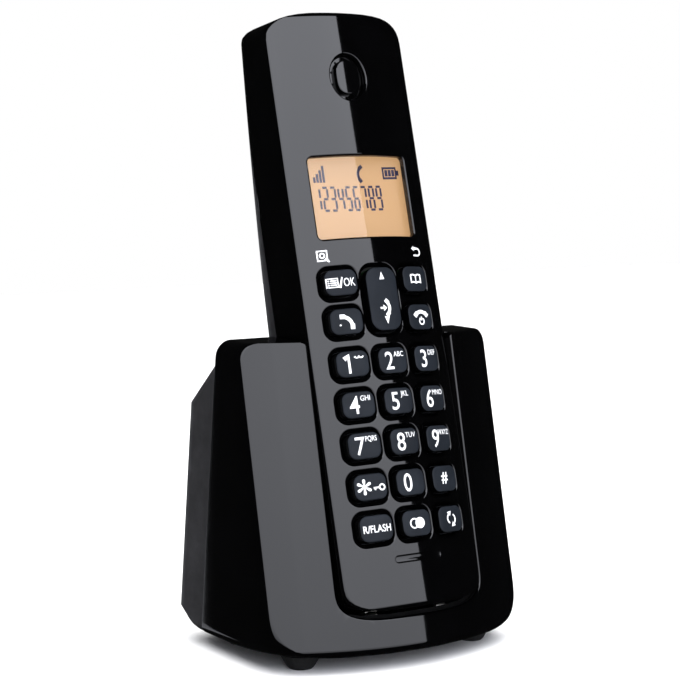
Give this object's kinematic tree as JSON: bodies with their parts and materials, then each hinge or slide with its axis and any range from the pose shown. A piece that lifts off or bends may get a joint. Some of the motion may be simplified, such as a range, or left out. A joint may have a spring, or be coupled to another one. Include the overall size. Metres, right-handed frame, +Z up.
{
  "type": "cordless telephone with base",
  "caption": "Cordless telephone handset with keypad and amber display, standing in an upright charging base.",
  "frame": {"origin": "middle of the footprint, on the surface the four feet stand on", "axes": "+Z up, -Y the front with the keypad and display, +X to the telephone's right seen from the front"},
  "size_m": [0.0804, 0.0653, 0.1711],
  "materials": {
    "gloss_black": "mirror gloss moulded black",
    "matte_black": "fine textured black",
    "key_grey": "soft satin dark slate",
    "display_clear": "clear polished window",
    "display_amber": "lit amber panel",
    "white_plastic": "white diffuser",
    "board_green": "green solder resist",
    "silicone": "soft silicone",
    "speaker_dark": "plain dark moulding",
    "cell_wrap": "shrink-wrapped cell",
    "contact_metal": "nickel-plated",
    "rubber_foot": "moulded rubber"
  },
  "bodies": {
    "base": {"base_front_shell": "gloss_black", "base_rear_housing": "matte_black", "cradle_liner": "gloss_black", "bottom_plate": "matte_black", "base_board": "board_green", "line_jack": "speaker_dark", "power_jack": "speaker_dark", "page_switch": "speaker_dark", "foot_front_left": "rubber_foot", "foot_front_right": "rubber_foot", "foot_rear_left": "rubber_foot", "foot_rear_right": "rubber_foot", "base_screw_front_left": "contact_metal", "base_screw_front_right": "contact_metal", "base_screw_rear_left": "contact_metal", "base_screw_rear_right": "contact_metal"},
    "handset": {"handset_front_case": "gloss_black", "handset_rear_case": "matte_black", "display_window": "display_clear", "display_panel": "display_amber", "display_backlight": "white_plastic", "handset_board": "board_green", "keypad_mat": "silicone", "earpiece_grille": "gloss_black", "earpiece_speaker": "speaker_dark", "microphone": "speaker_dark", "ringer_speaker": "speaker_dark", "battery_cell_left": "cell_wrap", "battery_cell_right": "cell_wrap", "battery_contact_lower": "contact_metal", "battery_contact_upper": "contact_metal", "handset_contact_left": "contact_metal", "handset_contact_right": "contact_metal", "handset_screw_left": "contact_metal", "handset_screw_right": "contact_metal"},
    "battery_cover": {"battery_cover": "matte_black"},
    "key_menu": {"key_menu": "key_grey"},
    "key_phonebook": {"key_phonebook": "key_grey"},
    "key_talk": {"key_talk": "key_grey"},
    "key_power": {"key_power": "key_grey"},
    "key_1": {"key_1": "key_grey"},
    "key_2": {"key_2": "key_grey"},
    "key_3": {"key_3": "key_grey"},
    "key_4": {"key_4": "key_grey"},
    "key_5": {"key_5": "key_grey"},
    "key_6": {"key_6": "key_grey"},
    "key_7": {"key_7": "key_grey"},
    "key_8": {"key_8": "key_grey"},
    "key_9": {"key_9": "key_grey"},
    "key_star": {"key_star": "key_grey"},
    "key_0": {"key_0": "key_grey"},
    "key_hash": {"key_hash": "key_grey"},
    "key_recall": {"key_recall": "key_grey"},
    "key_conference": {"key_conference": "key_grey"},
    "key_redial": {"key_redial": "key_grey"},
    "key_navigator": {"key_navigator": "key_grey"},
    "page_button": {"page_button": "key_grey"},
    "base_contact_left": {"base_contact_left": "contact_metal"},
    "base_contact_right": {"base_contact_right": "contact_metal"}
  },
  "joints": [
    {"name": "handset_lift", "type": "slide", "parent": "base", "child": "handset", "axis": [0, 0.2605, 0.9655], "range_m": [0, 0.1]},
    {"name": "key_menu_press", "type": "slide", "parent": "handset", "child": "key_menu", "axis": [0, 0.9655, -0.2605], "range_m": [0, 0.0008], "stiffness_N_per_m": 400},
    {"name": "key_phonebook_press", "type": "slide", "parent": "handset", "child": "key_phonebook", "axis": [0, 0.9655, -0.2605], "range_m": [0, 0.0008], "stiffness_N_per_m": 400},
    {"name": "key_talk_press", "type": "slide", "parent": "handset", "child": "key_talk", "axis": [0, 0.9655, -0.2605], "range_m": [0, 0.0008], "stiffness_N_per_m": 400},
    {"name": "key_power_press", "type": "slide", "parent": "handset", "child": "key_power", "axis": [0, 0.9655, -0.2605], "range_m": [0, 0.0008], "stiffness_N_per_m": 400},
    {"name": "key_1_press", "type": "slide", "parent": "handset", "child": "key_1", "axis": [0, 0.9655, -0.2605], "range_m": [0, 0.0008], "stiffness_N_per_m": 400},
    {"name": "key_2_press", "type": "slide", "parent": "handset", "child": "key_2", "axis": [0, 0.9655, -0.2605], "range_m": [0, 0.0008], "stiffness_N_per_m": 400},
    {"name": "key_3_press", "type": "slide", "parent": "handset", "child": "key_3", "axis": [0, 0.9655, -0.2605], "range_m": [0, 0.0008], "stiffness_N_per_m": 400},
    {"name": "key_4_press", "type": "slide", "parent": "handset", "child": "key_4", "axis": [0, 0.9655, -0.2605], "range_m": [0, 0.0008], "stiffness_N_per_m": 400},
    {"name": "key_5_press", "type": "slide", "parent": "handset", "child": "key_5", "axis": [0, 0.9655, -0.2605], "range_m": [0, 0.0008], "stiffness_N_per_m": 400},
    {"name": "key_6_press", "type": "slide", "parent": "handset", "child": "key_6", "axis": [0, 0.9655, -0.2605], "range_m": [0, 0.0008], "stiffness_N_per_m": 400},
    {"name": "key_7_press", "type": "slide", "parent": "handset", "child": "key_7", "axis": [0, 0.9655, -0.2605], "range_m": [0, 0.0008], "stiffness_N_per_m": 400},
    {"name": "key_8_press", "type": "slide", "parent": "handset", "child": "key_8", "axis": [0, 0.9655, -0.2605], "range_m": [0, 0.0008], "stiffness_N_per_m": 400},
    {"name": "key_9_press", "type": "slide", "parent": "handset", "child": "key_9", "axis": [0, 0.9655, -0.2605], "range_m": [0, 0.0008], "stiffness_N_per_m": 400},
    {"name": "key_star_press", "type": "slide", "parent": "handset", "child": "key_star", "axis": [0, 0.9655, -0.2605], "range_m": [0, 0.0008], "stiffness_N_per_m": 400},
    {"name": "key_0_press", "type": "slide", "parent": "handset", "child": "key_0", "axis": [0, 0.9655, -0.2605], "range_m": [0, 0.0008], "stiffness_N_per_m": 400},
    {"name": "key_hash_press", "type": "slide", "parent": "handset", "child": "key_hash", "axis": [0, 0.9655, -0.2605], "range_m": [0, 0.0008], "stiffness_N_per_m": 400},
    {"name": "key_recall_press", "type": "slide", "parent": "handset", "child": "key_recall", "axis": [0, 0.9655, -0.2605], "range_m": [0, 0.0008], "stiffness_N_per_m": 400},
    {"name": "key_conference_press", "type": "slide", "parent": "handset", "child": "key_conference", "axis": [0, 0.9655, -0.2605], "range_m": [0, 0.0008], "stiffness_N_per_m": 400},
    {"name": "key_redial_press", "type": "slide", "parent": "handset", "child": "key_redial", "axis": [0, 0.9655, -0.2605], "range_m": [0, 0.0008], "stiffness_N_per_m": 400},
    {"name": "key_navigator_rock", "type": "hinge", "parent": "handset", "child": "key_navigator", "pos_m": [0, -0.01037, 0.0946], "axis": [1, 0, 0], "range_deg": [-3, 3], "stiffness_Nm_per_rad": 0.03},
    {"name": "battery_cover_slide", "type": "slide", "parent": "handset", "child": "battery_cover", "axis": [0, -0.2605, -0.9655], "range_m": [0, 0.0035]},
    {"name": "page_button_press", "type": "slide", "parent": "base", "child": "page_button", "axis": [0, 0.9655, -0.2605], "range_m": [0, 0.0008], "stiffness_N_per_m": 400},
    {"name": "base_contact_left_spring", "type": "slide", "parent": "base", "child": "base_contact_left", "axis": [0, 0.2605, 0.9655], "range_m": [-0.001, 0], "stiffness_N_per_m": 400},
    {"name": "base_contact_right_spring", "type": "slide", "parent": "base", "child": "base_contact_right", "axis": [0, 0.2605, 0.9655], "range_m": [-0.001, 0], "stiffness_N_per_m": 400}
  ]
}
